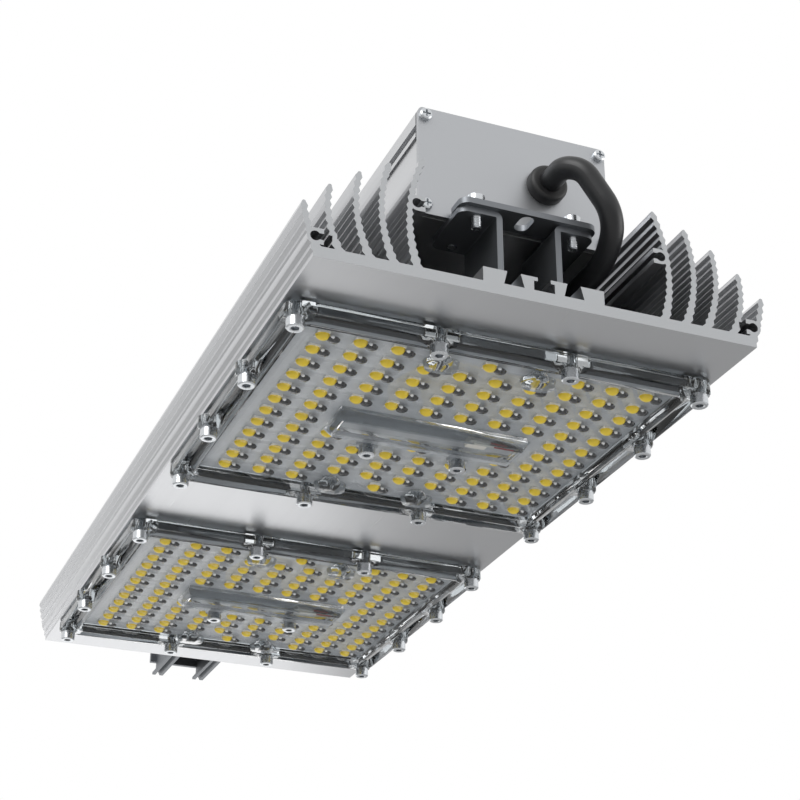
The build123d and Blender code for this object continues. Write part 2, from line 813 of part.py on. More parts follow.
def cable_path():
    points = [Vector(*p) for p in cable_route()]
    runs = [b - a for a, b in zip(points, points[1:])]
    radii = []
    for before, after in zip(runs, runs[1:]):
        turn = math.radians(before.get_angle(after))
        radii.append(0.45 * min(before.length, after.length) / math.tan(turn / 2))
    print("cable radii", [round(r, 1) for r in radii])
    return FilletPolyline(*points, radius=radii)


def link_cable():
    path = cable_path()
    cable = sweep(Plane(path @ 0, z_dir=path % 0) * Circle(cable_radius), path=path)
    print("cable length", round(path.length, 1), "volume ratio",
          round(cable.volume / (math.pi * cable_radius ** 2 * path.length), 4))
    return cable


# All nodes, each with its solid in the build place
def nodes():
    near, far = near_bracket(), rear_arm()
    made = {
        "heatsink": heatsink(),
        "near_bracket_right": near, "near_bracket_left": mirrored(near),
        "rear_arm_right": far, "rear_arm_left": mirrored(far),
        "near_cross_plate": near_cross_plate(), "rear_cross_plate": rear_cross_plate(),
        "bracket_bolts": bracket_bolts(), "housing_screws": housing_screws(),
        "driver_housing": driver_housing(),
        "near_end_plate": near_end_plate(), "far_end_plate": far_end_plate(),
        "near_end_gasket": near_end_gasket(), "far_end_gasket": far_end_gasket(),
        "end_plate_screws": end_plate_screws(), "cable_grommet": cable_grommet(),
        "driver_board": driver_board(), "terminal_block": terminal_block(),
        "transformer_core": transformer_core(), "transformer_winding": transformer_winding(),
        "capacitors": capacitors(), "line_choke": line_choke(), "heat_spreader": heat_spreader(),
        "link_cable": link_cable(),
        "plate_grommet_near": plate_grommet(-module_pitch / 2, True),
        "plate_plug_far": plate_grommet(module_pitch / 2, False),
    }
    lamp = {
        "led_board": led_board(), "led_packages": led_packages(), "lens_cover": lens_cover(),
        "cover_gasket": cover_gasket(), "cover_screws": cover_screws(), "board_screws": board_screws(),
        "wire_connector": wire_connector(), "red_lead": lead(-1), "black_lead": lead(1),
    }
    for end, y in module_places().items():
        for name, piece in lamp.items():
            made[name + "_" + end] = Pos(0, y, 0) * piece
    return made


for name, piece in nodes().items():
    export_step(Pos(0, 0, -hang_level) * piece, "parts/" + name + ".step")
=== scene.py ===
import math

import bmesh
import bpy
from mathutils import Matrix, Vector
from mathutils.kdtree import KDTree


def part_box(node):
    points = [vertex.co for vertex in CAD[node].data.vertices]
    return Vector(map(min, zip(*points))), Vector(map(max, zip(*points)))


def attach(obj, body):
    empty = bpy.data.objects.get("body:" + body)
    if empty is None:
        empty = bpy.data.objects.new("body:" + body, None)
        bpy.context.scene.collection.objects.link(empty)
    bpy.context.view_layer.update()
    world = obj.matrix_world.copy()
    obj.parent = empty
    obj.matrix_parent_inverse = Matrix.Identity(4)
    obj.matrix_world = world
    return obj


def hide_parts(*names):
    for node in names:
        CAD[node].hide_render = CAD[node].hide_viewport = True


bl_info = {
    "name": "LED Street Light Finish",
    "version": (1, 0, 0),
    "blender": (4, 5, 0),
    "location": "3D View > Sidebar > Street Light",
    "description": "Finishes the street light's metal, lamps, covers, screws and cable",
    "category": "Object",
}

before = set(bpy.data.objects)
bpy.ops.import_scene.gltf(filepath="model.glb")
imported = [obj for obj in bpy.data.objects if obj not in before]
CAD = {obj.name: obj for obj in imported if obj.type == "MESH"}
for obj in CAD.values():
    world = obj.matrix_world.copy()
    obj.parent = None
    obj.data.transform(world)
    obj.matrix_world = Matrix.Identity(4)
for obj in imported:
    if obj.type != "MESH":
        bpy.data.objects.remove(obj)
MM = 0.001


def linear(code, alpha=1.0):
    """An sRGB hex colour as linear red, green, blue and alpha."""
    parts = [int(code[i:i + 2], 16) / 255 for i in (1, 3, 5)]
    return tuple(c / 12.92 if c <= 0.04045 else ((c + 0.055) / 1.055) ** 2.4 for c in parts) + (alpha,)


MODULES = ("near", "far")
# Ends of the heatsink, read from the frame
HEATSINK_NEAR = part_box("heatsink")[0].y
HEATSINK_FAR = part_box("heatsink")[1].y
# Corners this near each other are merged, and heights this near each other count as one
SAME_PLACE = 0.001 * MM
SAME_HEIGHT = 0.01 * MM
# Smallest step that tells one face from the next
SMALL_STEP = 0.05 * MM
# An edge that turns by more than this is drawn sharp
SHARP_ANGLE = math.radians(32)
# Die lines: breadth as a share of length, and depth
LINE_SLIMNESS = 0.01
LINE_DEPTH = 0.05 * MM
# Roughness of the sawn ends
SAWN_ROUGHNESS = 0.62
# Refractive index of polycarbonate
POLYCARBONATE_INDEX = 1.58
# Share that the clear skin mirrors: seen straight on, its rise towards the edge, and how late it rises
SKIN_LEAST = 0.03
SKIN_RISE = 0.08
SKIN_POWER = 5.0
# Darker part of the lamp board's mottling, as a share of its colour
MOTTLE_SHARE = 0.8
# Rounded lens: slope at its last ring, and how far out its faces may lie as a share of its reach
LENS_LAST_SLOPE = math.radians(76)
LENS_MARGIN = 1.05
# Low screw head: its profile's radii and heights, and its recess, as shares of the head's own
PAN_PROFILE = ((0.75, 0.0), (0.93, 0.2), (1.0, 0.6), (1.0, 1.0))
RECESS_REACH = 0.62
RECESS_DEPTH = 0.6


class StreetLightMetal(bpy.types.PropertyGroup):
    """Colours of the metal parts and width of their lines."""

    aluminium: bpy.props.FloatVectorProperty(
        name="Aluminium", description="Colour of the anodised heatsink and box", subtype="COLOR",
        size=4, min=0, max=1, default=linear("#C4C5C7"))
    sawn: bpy.props.FloatVectorProperty(
        name="Sawn aluminium", description="Colour of the sawn ends of the extrusions", subtype="COLOR",
        size=4, min=0, max=1, default=linear("#B4B6B8"))
    zinc: bpy.props.FloatVectorProperty(
        name="Zinc", description="Colour of the plated screws", subtype="COLOR",
        size=4, min=0, max=1, default=linear("#C9CCCF"))
    die_line: bpy.props.FloatProperty(
        name="Die line", description="Width of the fine lines along the extrusions", unit="LENGTH",
        min=0.0001, max=0.01, default=0.7 * MM)
    # Painted shade: this sheet colour is darkened for the brackets and cross plates, which sit in the shade
    # under the box
    sheet: bpy.props.FloatVectorProperty(
        name="Sheet", description="Colour of the brackets and the sheets", subtype="COLOR",
        size=4, min=0, max=1, default=linear("#7E8185"))
    plate: bpy.props.FloatVectorProperty(
        name="Plate", description="Colour of the box's end plates", subtype="COLOR",
        size=4, min=0, max=1, default=linear("#B2B4B7"))


class StreetLightLamps(bpy.types.PropertyGroup):
    """Sizes and colours of the lamps and their lenses."""

    phosphor: bpy.props.FloatVectorProperty(
        name="Phosphor", description="Colour of the unlit lamp's phosphor", subtype="COLOR",
        size=4, min=0, max=1, default=linear("#F3D31E"))
    body: bpy.props.FloatVectorProperty(
        name="Lamp body", description="Colour of the lamp's moulded body", subtype="COLOR",
        size=4, min=0, max=1, default=linear("#EDEBE4"))
    board: bpy.props.FloatVectorProperty(
        name="Board", description="Colour of the lamp board's coating", subtype="COLOR",
        size=4, min=0, max=1, default=linear("#B4BAC0"))
    dome_reach: bpy.props.FloatVectorProperty(
        name="Dome reach", description="Half length, half breadth and drop of a lamp's phosphor dome",
        unit="LENGTH", size=3, default=(3.0 * MM, 2.5 * MM, 2.2 * MM))
    cover_air: bpy.props.FloatProperty(
        name="Cover air", description="Gap between the lamps and the clear cover", unit="LENGTH",
        min=0.0, max=0.001, default=0.2 * MM)
    cover_wall: bpy.props.FloatProperty(
        name="Cover wall", description="Thickness of the clear cover between its lenses", unit="LENGTH",
        min=0.0005, max=0.005, default=2.0 * MM)
    window_wall: bpy.props.FloatProperty(
        name="Window wall", description="Thickness that takes in both faces of the wiring window",
        unit="LENGTH", min=0.0005, max=0.003, default=1.3 * MM)
    lens_reach: bpy.props.FloatVectorProperty(
        name="Lens reach", description="Half length, half breadth and drop of a lens", unit="LENGTH",
        size=3, default=(5.8 * MM, 4.6 * MM, 2.6 * MM))
    # The dark flank is a painted dark reflection: a near-black body where the clear lens would mirror dark
    # surroundings
    flank_reach: bpy.props.FloatVectorProperty(
        name="Flank reach", description="Half length, half breadth and half height of a lens's dark flank",
        unit="LENGTH", size=3, default=(2.6 * MM, 2.5 * MM, 1.0 * MM))
    flank_shift: bpy.props.FloatVectorProperty(
        name="Flank shift", description="From a lamp's lower face to the middle of the dark flank",
        unit="LENGTH", size=3, default=(4.5 * MM, 0.0, -1.3 * MM))
    # The glint is a painted highlight: a small white body where the lens would show a sparkle of light
    glint_reach: bpy.props.FloatVectorProperty(
        name="Glint reach", description="Half length, half breadth and half height of a lens's bright edge",
        unit="LENGTH", size=3, default=(0.9 * MM, 0.5 * MM, 0.6 * MM))
    glint_shift: bpy.props.FloatVectorProperty(
        name="Glint shift", description="From a lamp's lower face to the middle of the bright edge",
        unit="LENGTH", size=3, default=(3.5 * MM, -2.0 * MM, -1.2 * MM))


class StreetLightScrews(bpy.types.PropertyGroup):
    """Sizes of the screws' details."""

    socket: bpy.props.FloatProperty(
        name="Socket", description="Hex socket across its flats", unit="LENGTH",
        min=0.001, max=0.006, default=3.0 * MM)
    socket_depth: bpy.props.FloatProperty(
        name="Socket depth", description="Depth of the hex socket", unit="LENGTH",
        min=0.0005, max=0.004, default=2.2 * MM)
    cap_radius: bpy.props.FloatProperty(
        name="Cap radius", description="Radius of the M4 heads", unit="LENGTH",
        min=0.001, max=0.01, default=3.6 * MM)
    cap_height: bpy.props.FloatProperty(
        name="Cap height", description="Height of the socket heads", unit="LENGTH",
        min=0.001, max=0.01, default=4.6 * MM)
    pan_height: bpy.props.FloatProperty(
        name="Pan height", description="Height of the low heads", unit="LENGTH",
        min=0.0005, max=0.005, default=2.0 * MM)
    m4_radius: bpy.props.FloatProperty(
        name="M4 shaft", description="Radius of the M4 shafts", unit="LENGTH",
        min=0.0005, max=0.005, default=2.0 * MM)
    m3_radius: bpy.props.FloatProperty(
        name="M3 shaft", description="Radius of the M3 shafts", unit="LENGTH",
        min=0.0005, max=0.005, default=1.5 * MM)
    m3_head_radius: bpy.props.FloatProperty(
        name="M3 head", description="Radius of the M3 heads", unit="LENGTH",
        min=0.0005, max=0.01, default=2.7 * MM)
    thread_pitch: bpy.props.FloatProperty(
        name="Thread pitch", description="Distance between the thread's rings", unit="LENGTH",
        min=0.0003, max=0.002, default=0.7 * MM)
    thread_depth: bpy.props.FloatProperty(
        name="Thread depth", description="Depth of the thread's rings", unit="LENGTH",
        min=0.0, max=0.001, default=0.25 * MM)
    head_bevel: bpy.props.FloatProperty(
        name="Head bevel", description="Bevel round the screw heads", unit="LENGTH",
        min=0.0, max=0.001, default=0.45 * MM)
    cross_width: bpy.props.FloatProperty(
        name="Cross width", description="Width of the cross recess's arms", unit="LENGTH",
        min=0.0002, max=0.002, default=0.8 * MM)


class StreetLightStage(bpy.types.PropertyGroup):
    """Camera, floor and lamps of the studio."""

    camera_place: bpy.props.FloatVectorProperty(
        name="Camera place", description="Where the camera stands", subtype="TRANSLATION", unit="LENGTH",
        size=3, default=(-0.2659, -0.7370, -0.3733))
    camera_aim: bpy.props.FloatVectorProperty(
        name="Camera aim", description="Direction in which the camera looks", subtype="DIRECTION",
        size=3, default=(0.33585, 0.82914, 0.44692))
    focal_length: bpy.props.FloatProperty(
        name="Focal length", description="In millimetres, on a 36 mm sensor", min=20, max=200, default=80.56)
    floor_drop: bpy.props.FloatProperty(
        name="Floor drop", description="Height of the light above the floor", unit="LENGTH",
        min=0.3, max=5, default=0.75)
    world_level: bpy.props.FloatProperty(
        name="World level", description="Brightness of the soft light all round", min=0, max=2, default=0.42)


def settings(group):
    return getattr(bpy.context.scene, "street_light_" + group)


# Material and mesh helpers
def add_node(tree, kind, inputs=None, **fields):
    """Adds a node, sets its fields, and sets or links its inputs by name or number."""
    node = tree.nodes.new(kind)
    for name, value in fields.items():
        setattr(node, name, value)
    for key, value in (inputs or {}).items():
        if isinstance(value, bpy.types.NodeSocket):
            tree.links.new(value, node.inputs[key])
        else:
            node.inputs[key].default_value = value
    return node


def start_material(name):
    """A new material with its tree, its shader and its object coordinates."""
    material = bpy.data.materials.new(name)
    material.use_nodes = True
    tree = material.node_tree
    place = add_node(tree, "ShaderNodeTexCoord").outputs["Object"]
    return material, tree, tree.nodes["Principled BSDF"], place


def mixed(tree, share, first, second, kind):
    """Result of a Mix node between two numbers ("FLOAT") or two colours ("RGBA")."""
    a, b, result = {"FLOAT": (2, 3, 0), "RGBA": (6, 7, 2)}[kind]
    node = add_node(tree, "ShaderNodeMix", {"Factor": share, a: first, b: second}, data_type=kind)
    return node.outputs[result]


def set_shader(shader, values):
    """Sets the shader's own sockets by name."""
    for name, value in values.items():
        shader.inputs[name].default_value = value


def dress(names, material):
    """Gives CAD nodes a material in all of their slots."""
    for name in names:
        mesh = CAD[name].data
        if not mesh.materials:
            mesh.materials.append(material)
        for i in range(len(mesh.materials)):
            mesh.materials[i] = material


def of_modules(name):
    return [name + "_" + module for module in MODULES]


def finished_piece(name, bm, materials, replaces):
    """Makes an object of a bmesh, rides it on the body and hides the CAD nodes it stands for."""
    bmesh.ops.recalc_face_normals(bm, faces=bm.faces)
    for face in bm.faces:
        face.smooth = True
    mesh = bpy.data.meshes.new(name)
    bm.to_mesh(mesh)
    bm.free()
    mesh.set_sharp_from_angle(angle=SHARP_ANGLE)
    piece = bpy.data.objects.new(name, mesh)
    bpy.context.scene.collection.objects.link(piece)
    for material in materials:
        mesh.materials.append(material)
    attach(piece, "root")
    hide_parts(*replaces)


def cad_copy(name):
    """The mesh of a CAD node with its loose triangles merged."""
    bm = bmesh.new()
    bm.from_mesh(CAD[name].data)
    bmesh.ops.remove_doubles(bm, verts=bm.verts, dist=SAME_PLACE)
    return bm


def solids_of(name):
    """Lower and upper corner of each separate solid in a CAD node."""
    bm = cad_copy(name)
    corners = []
    waiting = set(bm.verts)
    while waiting:
        found = {waiting.pop()}
        front = list(found)
        while front:
            vert = front.pop()
            fresh = {e.other_vert(vert) for e in vert.link_edges} & waiting
            waiting -= fresh
            found |= fresh
            front += fresh
        places = [v.co for v in found]
        corners.append((Vector([min(p[i] for p in places) for i in range(3)]),
                        Vector([max(p[i] for p in places) for i in range(3)])))
    bm.free()
    return corners


def extruded_lines(tree, place, width, strength):
    """Bump of fine lines along Y, as the die leaves them."""
    stretched = add_node(tree, "ShaderNodeMapping", {"Vector": place, "Scale": (1, LINE_SLIMNESS, 1)})
    lines = add_node(tree, "ShaderNodeTexNoise",
                     {"Vector": stretched.outputs["Vector"], "Scale": 1 / width, "Detail": 2.0})
    bump = add_node(tree, "ShaderNodeBump",
                    {"Strength": strength, "Distance": LINE_DEPTH, "Height": lines.outputs["Fac"]})
    return lines, bump


# Metals
def anodised_aluminium():
    """Anodised aluminium extrusion: satin, with fine lines from the die and paler sawn ends."""
    metal = settings("metal")
    material, tree, shader, place = start_material("anodised_aluminium_extrusion")
    set_shader(shader, {"Metallic": 1.0, "Roughness": 0.36})
    lines, bump = extruded_lines(tree, place, metal.die_line, 0.35)
    parts = add_node(tree, "ShaderNodeSeparateXYZ", {"Vector": place})
    middle = (HEATSINK_NEAR + HEATSINK_FAR) / 2
    half = (HEATSINK_FAR - HEATSINK_NEAR) / 2
    away = add_node(tree, "ShaderNodeMath", {0: parts.outputs["Y"], 1: middle}, operation="SUBTRACT")
    away = add_node(tree, "ShaderNodeMath", {0: away.outputs[0]}, operation="ABSOLUTE")
    at_end = add_node(tree, "ShaderNodeMath", {0: away.outputs[0], 1: half - SMALL_STEP},
                      operation="GREATER_THAN")
    colour = mixed(tree, at_end.outputs[0], tuple(metal.aluminium), tuple(metal.sawn), "RGBA")
    rough = add_node(tree, "ShaderNodeMapRange",
                     {"Value": lines.outputs["Fac"], "To Min": 0.25, "To Max": 0.36})
    end_rough = mixed(tree, at_end.outputs[0], rough.outputs["Result"], SAWN_ROUGHNESS, "FLOAT")
    tree.links.new(colour, shader.inputs["Base Color"])
    tree.links.new(end_rough, shader.inputs["Roughness"])
    tree.links.new(bump.outputs["Normal"], shader.inputs["Normal"])
    return material


def rolled_sheet(name, colour, roughness):
    """Rolled sheet metal: satin, with the faint streaks that the rollers leave."""
    material, tree, shader, place = start_material(name)
    set_shader(shader, {"Metallic": 1.0, "Roughness": roughness, "Base Color": tuple(colour)})
    bump = extruded_lines(tree, place, settings("metal").die_line, 0.12)[1]
    tree.links.new(bump.outputs["Normal"], shader.inputs["Normal"])
    return material


def zinc_plate():
    """Zinc-plated steel: bright, slightly blue, with uneven gloss."""
    metal = settings("metal")
    material, tree, shader, place = start_material("zinc_plated_steel")
    set_shader(shader, {"Metallic": 1.0, "Roughness": 0.24, "Base Color": tuple(metal.zinc)})
    cloud = add_node(tree, "ShaderNodeTexNoise", {"Vector": place, "Scale": 1 / (1.5 * MM)})
    rough = add_node(tree, "ShaderNodeMapRange",
                     {"Value": cloud.outputs["Fac"], "To Min": 0.18, "To Max": 0.34})
    tree.links.new(rough.outputs["Result"], shader.inputs["Roughness"])
    return material


# Plastics and rubbers
def plain_moulding(name, colour, roughness, grain=0.3 * MM, depth=0.02 * MM):
    """Moulded plastic or rubber: a fine grain breaks up its gloss."""
    material, tree, shader, place = start_material(name)
    set_shader(shader, {"Roughness": roughness, "Base Color": tuple(colour)})
    noise = add_node(tree, "ShaderNodeTexNoise", {"Vector": place, "Scale": 1 / grain})
    bump = add_node(tree, "ShaderNodeBump",
                    {"Strength": 0.5, "Distance": depth, "Height": noise.outputs["Fac"]})
    tree.links.new(bump.outputs["Normal"], shader.inputs["Normal"])
    return material


def clear_polycarbonate():
    """Injection-moulded clear polycarbonate: glossy and faintly wavy, greyed by its thick rim."""
    material, tree, shader, place = start_material("clear_moulded_polycarbonate")
    set_shader(shader, {"Roughness": 0.03, "Base Color": linear("#A4AAAE"), "IOR": POLYCARBONATE_INDEX})
    shader.inputs["Transmission Weight"].default_value = 1.0
    wave = add_node(tree, "ShaderNodeTexNoise", {"Vector": place, "Scale": 1 / (12 * MM)})
    bump = add_node(tree, "ShaderNodeBump",
                    {"Strength": 0.15, "Distance": 0.2 * MM, "Height": wave.outputs["Fac"]})
    tree.links.new(bump.outputs["Normal"], shader.inputs["Normal"])
    return material


def clear_skin():
    """Lens field of the moulded cover: it mirrors a little more light the flatter it is seen, and bends none.

    The CAD lens is solid. Drawn so, it would hide its lamp from low down, where the photo shows it.
    It mirrors less than real polycarbonate, which would spread the lamps' yellow over the board.
    """
    material, tree, shader, _ = start_material("clear_lens_skin")
    set_shader(shader, {"Metallic": 1.0, "Roughness": 0.04, "Base Color": linear("#FFFFFF")})
    facing = add_node(tree, "ShaderNodeLayerWeight", {"Blend": 0.5})
    steep = add_node(tree, "ShaderNodeMath", {0: facing.outputs["Facing"], 1: SKIN_POWER},
                     operation="POWER")
    share = add_node(tree, "ShaderNodeMath", {0: steep.outputs[0], 1: SKIN_RISE, 2: SKIN_LEAST},
                     operation="MULTIPLY_ADD")
    tree.links.new(share.outputs[0], shader.inputs["Alpha"])
    return material


def dark_flank():
    """Glossy near-black for the dark side that each lens shows from low down.

    It is an effect of light in the clear lens, drawn as a body, and is no piece of the real cover.
    """
    material, _, shader, _ = start_material("painted_dark_lens_reflection")
    set_shader(shader, {"Roughness": 0.08, "Base Color": linear("#15171A"), "IOR": POLYCARBONATE_INDEX})
    return material


def lamp_board_coating():
    """White-grey solder mask over aluminium: glossy, with faint mottling."""
    lamps = settings("lamps")
    material, tree, shader, place = start_material("solder_mask")
    set_shader(shader, {"Roughness": 0.35, "Base Color": tuple(lamps.board)})
    noise = add_node(tree, "ShaderNodeTexNoise", {"Vector": place, "Scale": 1 / (4 * MM)})
    darker = tuple(c * MOTTLE_SHARE for c in lamps.board[:3]) + (1.0,)
    colour = mixed(tree, noise.outputs["Fac"], tuple(lamps.board), darker, "RGBA")
    tree.links.new(colour, shader.inputs["Base Color"])
    return material


def take_in(bm, other):
    """Moves the faces of another bmesh into this one as they are."""
    mesh = bpy.data.meshes.new("passing")
    other.to_mesh(mesh)
    other.free()
    bm.from_mesh(mesh)
    bpy.data.meshes.remove(mesh)


# Lamps and their clear covers
def lamp_places(module):
    """Middle of each lamp's lower face."""
    return [Vector(((low.x + high.x) / 2, (low.y + high.y) / 2, low.z))
            for low, high in solids_of("led_packages_" + module)]


def blobs(places, shift, reach, index, flat_top=False):
    """An ellipsoid of few faces at each place, or its lower half."""
    one = bmesh.new()
    bmesh.ops.create_uvsphere(one, u_segments=12, v_segments=6, radius=1,
                              matrix=Matrix.Diagonal((*reach, 1)))
    if flat_top:
        for vert in one.verts:
            vert.co.z = min(vert.co.z, 0)
    for face in one.faces:
        face.material_index = index
    mesh = bpy.data.meshes.new("passing")
    one.to_mesh(mesh)
    one.free()
    many = bmesh.new()
    last = Vector()
    for place in places:
        mesh.transform(Matrix.Translation(place + Vector(shift) - last))
        many.from_mesh(mesh)
        last = place + Vector(shift)
    bpy.data.meshes.remove(mesh)
    return many


def lamp_pieces(module, materials):
    """Lamps with a moulded body and a dome of phosphor silicone, as wide as its lens shows it."""
    bm = bmesh.new()
    for low, high in solids_of("led_packages_" + module):
        bmesh.ops.create_cube(
            bm, size=1, matrix=Matrix.Translation((low + high) / 2) @ Matrix.Diagonal((*(high - low), 1)))
    take_in(bm, blobs(lamp_places(module), (0, 0, 0), settings("lamps").dome_reach, 1, flat_top=True))
    finished_piece("lamps_" + module, bm, materials, ["led_packages_" + module])


def round_lenses(bm, places, level, steps=5):
    """Rounded lenses in place of the flat ones below the lamps, drawn down from their outlines."""
    nearest = KDTree(len(places))
    for number, place in enumerate(places):
        nearest.insert((place.x, place.y, 0), number)
    nearest.balance()

    def lens_at(point):
        centre = nearest.find((point.x, point.y, 0))[0]
        long, broad, drop = settings("lamps").lens_reach
        return centre, long, broad, drop, Vector(((point.x - centre.x) / long, (point.y - centre.y) / broad))

    def in_lens(part):
        return all(max(map(abs, lens_at(vert.co)[4])) < LENS_MARGIN for vert in part.verts)

    flat = [f for f in bm.faces if f.calc_center_median().z < level - SMALL_STEP and in_lens(f)]
    bmesh.ops.delete(bm, geom=flat, context="FACES")
    bmesh.ops.subdivide_edges(bm, edges=[e for e in bm.edges if e.is_boundary and in_lens(e)], cuts=1)
    rings = [e for e in bm.edges if e.is_boundary and in_lens(e)]
    last = LENS_LAST_SLOPE
    for step in range(1, steps + 1):
        narrower = math.cos(last * step / steps) / math.cos(last * (step - 1) / steps)
        deep = math.sin(last * step / steps) / math.sin(last)
        made = bmesh.ops.extrude_edge_only(bm, edges=rings)["geom"]
        rings = [e for e in made if isinstance(e, bmesh.types.BMEdge) and e.is_boundary]
        for vert in [v for v in made if isinstance(v, bmesh.types.BMVert)]:
            centre, long, broad, drop, away = lens_at(vert.co)
            # The first ring lies halfway between the lens's own outline and an oval
            if step == 1:
                away = away.normalized() * (0.5 + 0.5 * away.length)
            away *= narrower
            vert.co = (centre.x + away.x * long, centre.y + away.y * broad, level - drop * deep)
            for face in vert.link_faces:
                face.material_index = 1
    for face in bmesh.ops.holes_fill(bm, edges=rings, sides=0)["faces"]:
        face.material_index = 1


def clear_cover(module, materials):
    """The CAD cover with rounded lenses, its lens field in a material of its own.

    The painted dark reflection and the painted highlight that light gives each lens are drawn as small bodies
    in it.
    """
    lamps = settings("lamps")
    bm = cad_copy("lens_cover_" + module)
    places = lamp_places(module)
    top = places[0].z - lamps.cover_air
    low = top - lamps.cover_wall
    round_lenses(bm, places, low)
    window = min(v.co.z for v in bm.verts) + lamps.window_wall
    for face in bm.faces:
        heights = [v.co.z for v in face.verts]
        flat = any(all(abs(z - level) < SAME_HEIGHT for z in heights) for level in (low, top))
        if flat or max(heights) < window:
            face.material_index = 1
    take_in(bm, blobs(places, lamps.flank_shift, lamps.flank_reach, 2))
    take_in(bm, blobs(places, lamps.glint_shift, lamps.glint_reach, 3))
    finished_piece("clear_cover_" + module, bm, materials, ["lens_cover_" + module])


# Screws, each drawn with its head's end at the origin and its shaft along +Z
def turned(profile, steps=24):
    """A profile of radii and heights turned round the Z axis."""
    bm = bmesh.new()
    verts = [bm.verts.new((radius, 0, height)) for radius, height in profile]
    edges = [bm.edges.new(pair) for pair in zip(verts, verts[1:])]
    bmesh.ops.spin(bm, geom=verts + edges, axis=(0, 0, 1), cent=(0, 0, 0), angle=2 * math.pi,
                   steps=steps, use_merge=True)
    bmesh.ops.remove_doubles(bm, verts=bm.verts, dist=SAME_PLACE)
    return bm


def thread(radius, start, end):
    """Profile of a thread's rings, from the head to a pointed end."""
    screws = settings("screws")
    count = round((end - start) / screws.thread_pitch)
    pitch = (end - start) / count
    rings = []
    for ring in range(count):
        rings.append((radius - screws.thread_depth, start + ring * pitch))
        rings.append((radius, start + (ring + 0.5) * pitch))
    return rings + [(radius - 2 * screws.thread_depth, end), (0, end)]


def socket_screw(length):
    """Socket-head screw: bevelled head, hex socket and threaded shaft."""
    screws = settings("screws")
    head, height, bevel = screws.cap_radius, screws.cap_height, screws.head_bevel
    corner = screws.socket / math.sqrt(3)
    bm = turned([(corner + bevel / 2, 0), (head - bevel, 0), (head, bevel), (head, height)]
                + thread(screws.m4_radius, height, length))
    rim = [e for e in bm.edges if e.is_boundary]
    hexagon = bmesh.ops.create_circle(bm, segments=6, radius=corner,
                                      matrix=Matrix.Translation((0, 0, bevel / 2)))["verts"]
    edges = list({e for v in hexagon for e in v.link_edges})
    bmesh.ops.bridge_loops(bm, edges=rim + edges)
    made = bmesh.ops.extrude_edge_only(bm, edges=edges)["geom"]
    floor = [e for e in made if isinstance(e, bmesh.types.BMEdge) and e.is_boundary]
    bmesh.ops.translate(bm, verts=[v for v in made if isinstance(v, bmesh.types.BMVert)],
                        vec=(0, 0, screws.socket_depth - bevel / 2))
    bmesh.ops.contextual_create(bm, geom=floor)
    return bm


def cross_screw(length, shaft, head):
    """Low-headed screw with a cross recess and a threaded shaft."""
    screws = settings("screws")
    height, arm, reach = screws.pan_height, screws.cross_width, RECESS_REACH * head
    bm = turned([(wide * head, high * height) for wide, high in PAN_PROFILE]
                + thread(shaft, height, length))
    rim = [e for e in bm.edges if e.is_boundary]
    square = bmesh.ops.create_grid(bm, x_segments=1, y_segments=1, size=arm / 2)["verts"]
    faces = {f for v in square for f in v.link_faces}
    for edge in list({e for v in square for e in v.link_edges}):
        out = (edge.verts[0].co + edge.verts[1].co).normalized() * (reach - arm / 2)
        made = bmesh.ops.extrude_edge_only(bm, edges=[edge])["geom"]
        arms = [v for v in made if isinstance(v, bmesh.types.BMVert)]
        bmesh.ops.translate(bm, verts=arms, vec=out)
        faces |= {f for v in arms for f in v.link_faces}
    outline = [e for f in faces for e in f.edges if e.is_boundary]
    bmesh.ops.triangle_fill(bm, use_beauty=True, edges=rim + outline)
    deep = bmesh.ops.extrude_face_region(bm, geom=list(faces))["geom"]
    bmesh.ops.translate(bm, verts=[v for v in deep if isinstance(v, bmesh.types.BMVert)],
                        vec=(0, 0, RECESS_DEPTH * height))
    bmesh.ops.delete(bm, geom=list(faces), context="FACES_ONLY")
    return bm


def screw_set(name, facing, draw, material):
    """Drawn screws in place of a CAD node's, their heads' ends facing one way, or outwards along Y."""
    solids = solids_of(name)
    bm = bmesh.new()
    for low, high in solids:
        middle = (low + high) / 2
        head = Vector(facing) if facing else Vector((0, math.copysign(1, middle.y), 0))
        length = abs((high - low).dot(head))
        turn = Vector((0, 0, -1)).rotation_difference(head).to_matrix().to_4x4()
        screw = draw(length)
        bmesh.ops.transform(screw, verts=screw.verts,
                            matrix=Matrix.Translation(middle + head * length / 2) @ turn)
        take_in(bm, screw)
    finished_piece("drawn_" + name, bm, [material], [name])


class STREETLIGHT_OT_metal(bpy.types.Operator):
    """Finish the extrusions, the sheets and the brackets"""

    bl_idname = "street_light.metal"
    bl_label = "Finish metal"

    def execute(self, context):
        metal = settings("metal")
        dress(["heatsink", "driver_housing", "heat_spreader"], anodised_aluminium())
        dress(["near_end_plate", "far_end_plate"], rolled_sheet("rolled_end_plate", metal.plate, 0.42))
        # Brackets and cross plates take the darkened sheet colour, painted shade from the box above them
        dress(["near_bracket_left", "near_bracket_right", "rear_arm_left", "rear_arm_right",
               "near_cross_plate", "rear_cross_plate"], rolled_sheet("rolled_sheet_metal_painted_shade", metal.sheet, 0.5))
        return {"FINISHED"}


class STREETLIGHT_OT_screws(bpy.types.Operator):
    """Finish the screws"""

    bl_idname = "street_light.screws"
    bl_label = "Finish screws"

    def execute(self, context):
        screws = settings("screws")
        zinc = zinc_plate()

        def m4_pan(length):
            return cross_screw(length, screws.m4_radius, screws.cap_radius)

        def m3_pan(length):
            return cross_screw(length, screws.m3_radius, screws.m3_head_radius)

        screw_set("bracket_bolts", (0, 0, 1), socket_screw, zinc)
        screw_set("housing_screws", (0, 0, 1), m4_pan, zinc)
        screw_set("end_plate_screws", None, m3_pan, zinc)
        for module in MODULES:
            screw_set("cover_screws_" + module, (0, 0, -1), socket_screw, zinc)
            screw_set("board_screws_" + module, (0, 0, -1), m4_pan, zinc)
        return {"FINISHED"}


